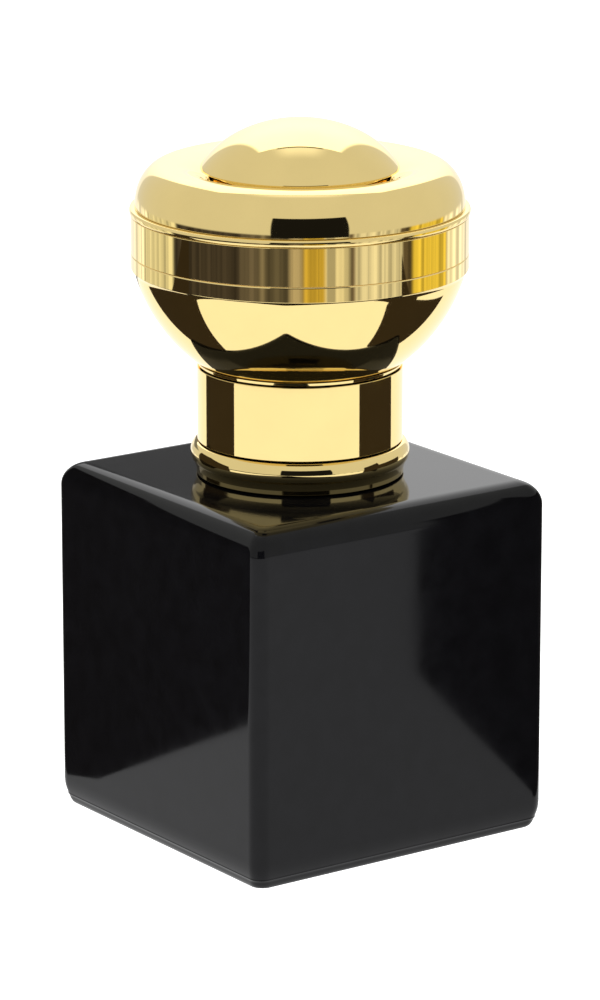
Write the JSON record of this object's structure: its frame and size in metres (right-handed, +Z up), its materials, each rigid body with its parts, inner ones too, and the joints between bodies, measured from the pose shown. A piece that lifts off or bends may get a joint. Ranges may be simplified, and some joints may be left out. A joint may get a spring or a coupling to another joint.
{
  "type": "aftershave bottle",
  "caption": "Cube-shaped black glass aftershave bottle with a gold collar, a domed lift-off gold cap and a crimped spray pump under it.",
  "frame": {"origin": "centre of the bottle's base, on the surface that it stands on", "axes": "+Z up along the axis of the neck, pump, collar and cap; -Y is the front face, where the nozzle points at rest"},
  "size_m": [0.06, 0.06, 0.1218],
  "materials": {
    "glass_bottle": "opaque black, fire-polished gloss",
    "gold_metal": "gold anodised, polished",
    "silver_metal": "satin",
    "spring_steel": "drawn wire",
    "white_plastic": "natural polypropylene",
    "clear_plastic": "translucent polyethylene",
    "black_plastic": "moulded satin",
    "grey_rubber": "matt",
    "cast_iron": "tumbled"
  },
  "bodies": {
    "bottle": {"glass_bottle": "glass_bottle", "neck_gasket": "grey_rubber", "crimp_ferrule": "silver_metal", "pump_housing": "white_plastic", "stem_guide": "white_plastic", "stem_seal": "grey_rubber", "dip_tube": "clear_plastic", "collar_base_ring": "gold_metal", "collar_sleeve": "gold_metal", "collar_insert": "black_plastic", "return_spring": "spring_steel"},
    "inlet_ball": {"inlet_ball": "spring_steel"},
    "pump_stem": {"pump_stem": "white_plastic", "piston": "white_plastic"},
    "actuator": {"actuator_button": "black_plastic", "actuator_shell": "gold_metal", "nozzle_insert": "black_plastic"},
    "cap": {"cap_bowl": "gold_metal", "cap_band": "gold_metal", "cap_rim": "gold_metal", "cap_shoulder": "gold_metal", "cap_dome": "gold_metal", "cap_core": "black_plastic", "cap_liner": "black_plastic", "cap_weight": "cast_iron"}
  },
  "joints": [
    {"name": "cap_lift", "type": "slide", "parent": "bottle", "child": "cap", "axis": [0, 0, 1], "range_m": [0, 0.03]},
    {"name": "pump_press", "type": "slide", "parent": "bottle", "child": "pump_stem", "axis": [0, 0, -1], "range_m": [0, 0.005], "stiffness_N_per_m": 600, "springref_m": -0.003, "deforming": ["return_spring"]},
    {"name": "actuator_swivel", "type": "hinge", "parent": "pump_stem", "child": "actuator", "pos_m": [0, 0, 0.086], "axis": [0, 0, 1], "continuous": true},
    {"name": "inlet_ball_lift", "type": "slide", "parent": "bottle", "child": "inlet_ball", "axis": [0, 0, 1], "range_m": [0, 0.001]}
  ]
}
